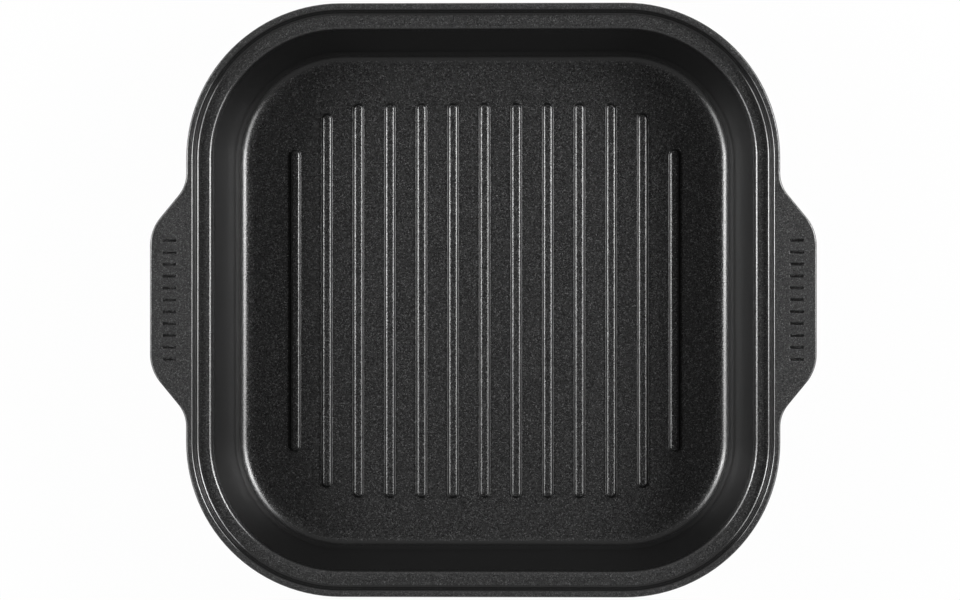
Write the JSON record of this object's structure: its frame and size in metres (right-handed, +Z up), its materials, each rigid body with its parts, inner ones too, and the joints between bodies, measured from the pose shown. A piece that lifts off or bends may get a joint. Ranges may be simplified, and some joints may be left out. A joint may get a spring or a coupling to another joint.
{
  "type": "square grill pan",
  "caption": "Square cast grill pan with parallel ribs on its floor, a stepped rim that seats a lid, two side ears and a perforated steel disc in its base.",
  "frame": {"origin": "centre of the pan's base, on the surface that it stands on", "axes": "+Z up, +X from the pan's centre towards one ear, +Y along the ribs"},
  "size_m": [0.3142, 0.28, 0.05],
  "materials": {
    "coated_casting": "matte",
    "base_steel": "satin"
  },
  "bodies": {
    "root": {"pan_casting": "coated_casting", "induction_disc": "base_steel"}
  },
  "joints": []
}
